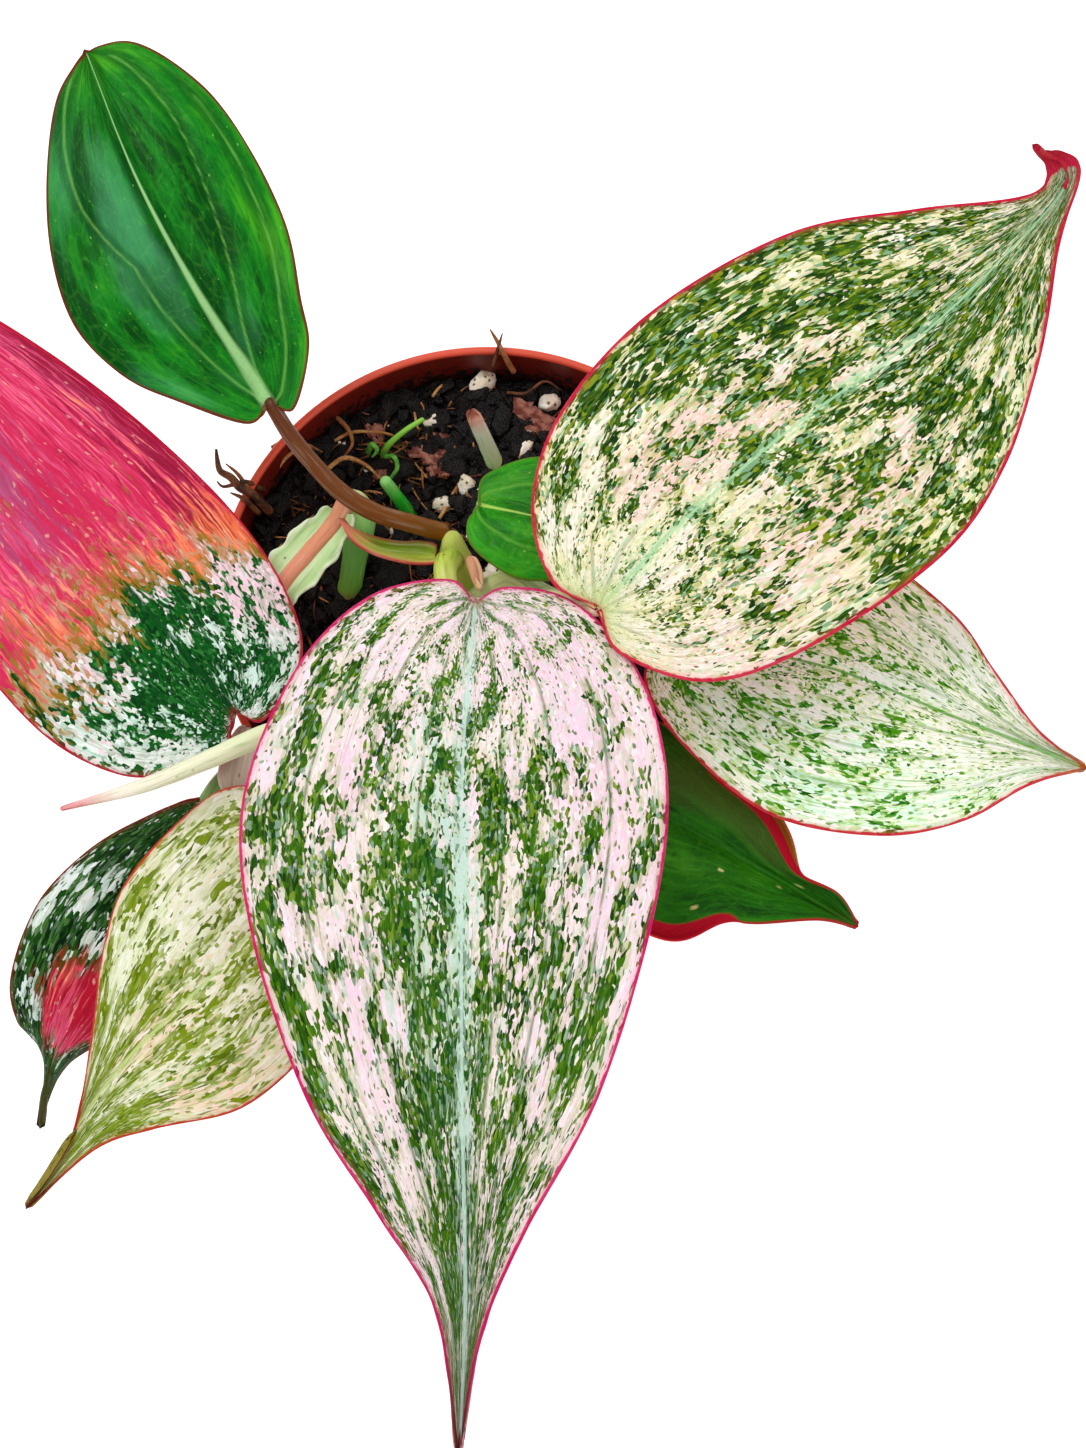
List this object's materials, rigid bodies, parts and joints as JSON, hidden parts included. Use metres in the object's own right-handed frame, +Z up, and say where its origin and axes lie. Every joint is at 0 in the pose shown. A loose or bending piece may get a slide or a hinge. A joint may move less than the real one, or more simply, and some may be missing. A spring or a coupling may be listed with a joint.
{
  "type": "potted variegated velvet leaf philodendron",
  "caption": "Small nursery pot filled with bark soil, holding a young philodendron with large heart-shaped leaves marbled in green, cream and pink.",
  "frame": {"origin": "centre of the pot's underside, on the surface it stands on", "axes": "+Z up along the pot's axis; -Y towards the tip of the long front leaf"},
  "size_m": [0.2056, 0.2196, 0.1275],
  "materials": {
    "pot": "satin terracotta red",
    "soil": "dark damp bark mix with pale grains",
    "stem_main": "smooth green stem",
    "stem_left": "smooth green stem",
    "stem_cut": "pale stem, dry top",
    "stalk_green": "smooth",
    "sprout_thin": "smooth",
    "leaf_new_rolled": "smooth",
    "leaf_green_oval": "soft sheen, quilted by the veins",
    "leaf_pink_left": "soft sheen, pink with a green and pale base",
    "leaf_half_red": "soft sheen, dark green and grey-white, red near the tip",
    "leaf_cream_left": "soft sheen, cream with green streaks",
    "leaf_front": "soft sheen, pink-white with green flecks, magenta margin",
    "leaf_upper_right": "soft sheen, olive and cream, magenta margin",
    "leaf_mint_right": "soft sheen, mint and cream, crimson margin",
    "leaf_green_right": "soft sheen, dark green over crimson",
    "leaf_small_round": "soft sheen",
    "cataphyll_boat": "dry, salmon and olive",
    "sheath_pink": "dry",
    "sheath_papery": "dry and thin"
  },
  "bodies": {
    "root": {"pot": "pot", "soil": "soil", "stem_main": "stem_main", "stem_left": "stem_left", "stem_cut": "stem_cut", "stalk_green": "stalk_green", "sprout_thin": "sprout_thin", "leaf_new_rolled": "leaf_new_rolled", "leaf_green_oval": "leaf_green_oval", "leaf_pink_left": "leaf_pink_left", "leaf_half_red": "leaf_half_red", "leaf_cream_left": "leaf_cream_left", "leaf_front": "leaf_front", "leaf_upper_right": "leaf_upper_right", "leaf_mint_right": "leaf_mint_right", "leaf_green_right": "leaf_green_right", "leaf_small_round": "leaf_small_round", "cataphyll_boat": "cataphyll_boat", "sheath_pink": "sheath_pink", "sheath_papery": "sheath_papery"}
  },
  "joints": []
}
